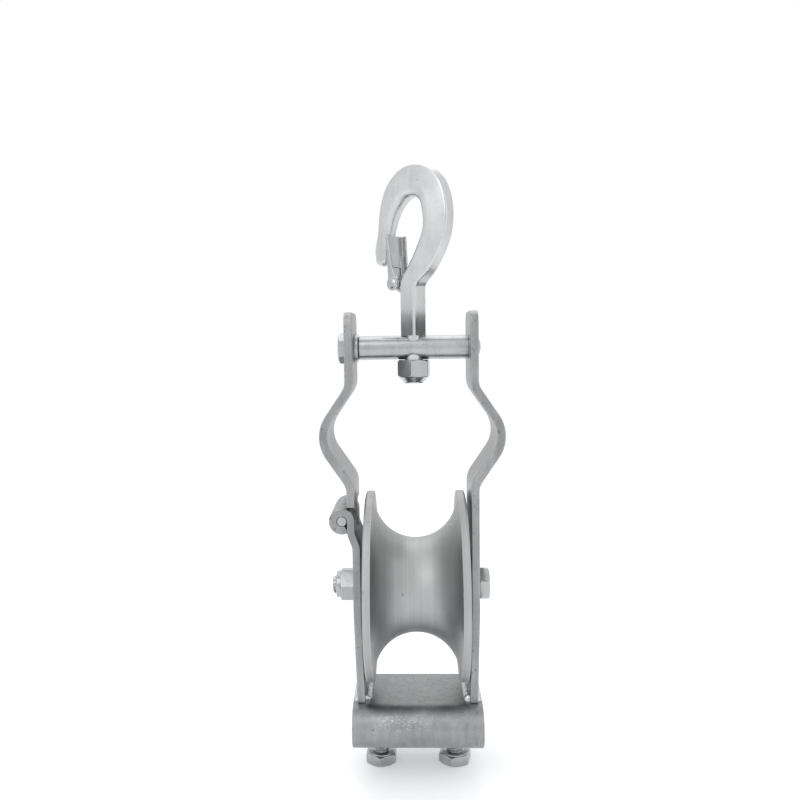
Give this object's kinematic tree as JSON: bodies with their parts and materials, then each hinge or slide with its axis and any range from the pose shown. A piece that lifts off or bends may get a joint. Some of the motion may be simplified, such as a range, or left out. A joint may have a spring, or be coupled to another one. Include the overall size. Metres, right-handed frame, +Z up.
{
  "type": "stringing block",
  "caption": "Grooved aluminium sheave in a bowed flat-bar frame, with a swivel hook, a hinged side arm and a bolted crossarm clamp, for running overhead line.",
  "frame": {"origin": "middle of the crossarm clamp's seat: the underside of its upper leg, where the block rests on the crossarm", "axes": "+X along the sheave's axle from the opening arm to the fixed arm, +Y along the conductor on the side of the clamp's mouth, +Z up towards the hook"},
  "size_m": [0.1141, 0.12, 0.3835],
  "materials": {
    "galvanised": "zinc-plated flat bar, dull silver with darker specks and bright worn edges",
    "zinc": "bright zinc-plated fasteners",
    "forged_zinc": "forged steel, smooth bright zinc plating",
    "sheet_zinc": "pressed sheet steel, zinc plated",
    "aluminium": "turned cast aluminium with fine circular tool lines",
    "weld": "rippled fillet weld, plated over",
    "bearing_steel": "ground bearing steel",
    "spring_steel": "drawn spring wire",
    "seal_rubber": "black rubber lip seal",
    "nylon": "natural white nylon"
  },
  "bodies": {
    "frame": {"fixed_arm": "galvanised", "hinge_cheek": "galvanised", "crossarm_clamp": "galvanised", "weld_beads": "weld", "hinge_pin": "zinc", "crossbar": "zinc", "crossbar_lock_washer": "zinc", "axle_bolt": "zinc", "axle_nut": "zinc", "axle_nut_insert": "nylon", "axle_sleeve": "zinc", "axle_spacer_left": "zinc", "axle_spacer_right": "zinc", "bearing_inner_rings": "bearing_steel"},
    "sheave": {"sheave": "aluminium", "bearing_outer_rings": "bearing_steel", "bearing_balls": "bearing_steel", "bearing_seals": "seal_rubber"},
    "gate": {"gate_arm": "galvanised", "crossbar_nut": "zinc"},
    "hook": {"hook": "forged_zinc", "hook_nut": "zinc", "hook_nut_weld": "weld", "latch_rivet": "zinc"},
    "latch": {"latch": "sheet_zinc", "latch_spring": "spring_steel"},
    "clamp_bolt_left": {"clamp_bolt_left": "zinc"},
    "clamp_bolt_right": {"clamp_bolt_right": "zinc"}
  },
  "joints": [
    {"name": "sheave_spin", "type": "hinge", "parent": "frame", "child": "sheave", "pos_m": [0, 0, 0.0753], "axis": [1, 0, 0], "continuous": true},
    {"name": "hook_swivel", "type": "hinge", "parent": "frame", "child": "hook", "pos_m": [0, 0, 0.2277], "axis": [0, 0, 1], "continuous": true},
    {"name": "latch_pivot", "type": "hinge", "parent": "hook", "child": "latch", "pos_m": [-0.0083, 0.00722, 0.2681], "axis": [0.6561, 0.7547, 0], "range_deg": [0, 35], "stiffness_Nm_per_rad": 0.02, "springref_deg": -28.65},
    {"name": "gate_swing", "type": "hinge", "parent": "frame", "child": "gate", "pos_m": [-0.04548, 0, 0.1212], "axis": [0, -1, 0], "range_deg": [0, 140]},
    {"name": "clamp_screw_left", "type": "slide", "parent": "frame", "child": "clamp_bolt_left", "axis": [0, 0, 1], "range_m": [-0.0045, 0.0098]},
    {"name": "clamp_screw_right", "type": "slide", "parent": "frame", "child": "clamp_bolt_right", "axis": [0, 0, 1], "range_m": [-0.0045, 0.0098]}
  ]
}
